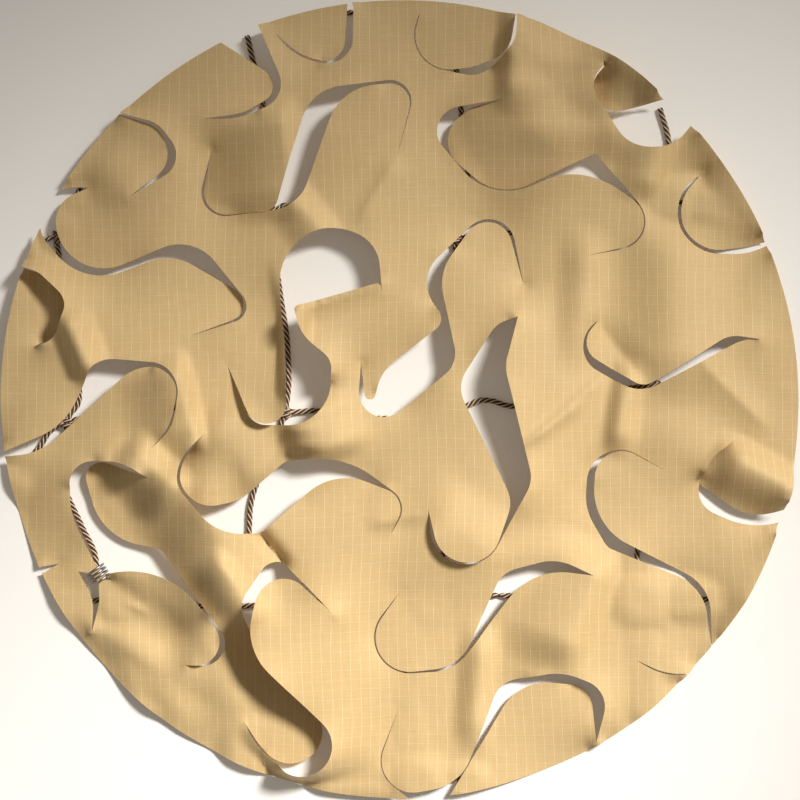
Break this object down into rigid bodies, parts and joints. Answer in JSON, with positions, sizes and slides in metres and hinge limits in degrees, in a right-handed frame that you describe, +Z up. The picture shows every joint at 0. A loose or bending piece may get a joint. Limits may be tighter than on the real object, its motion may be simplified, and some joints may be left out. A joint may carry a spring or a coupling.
{
  "type": "camouflage netting",
  "caption": "Round cut length of camouflage netting: die-cut tan ripstop cloth lying over a knotted square net of twisted cord, held by a wire clip.",
  "frame": {"origin": "centre of the round, on the surface that the net and the cloth lie on", "axes": "+Z up, away from the surface; +Y towards the top of the round and +X to its right, as seen from above"},
  "size_m": [0.4, 0.4, 0.0343],
  "materials": {
    "ripstop": "matt tan ripstop cloth with a paler grid of thicker threads",
    "cord": "twisted dark brown cord with cream strands",
    "wire": "dull grey wire"
  },
  "bodies": {
    "root": {"garnish_cloth": "ripstop", "cord_net": "cord", "wire_clip": "wire"}
  },
  "joints": []
}
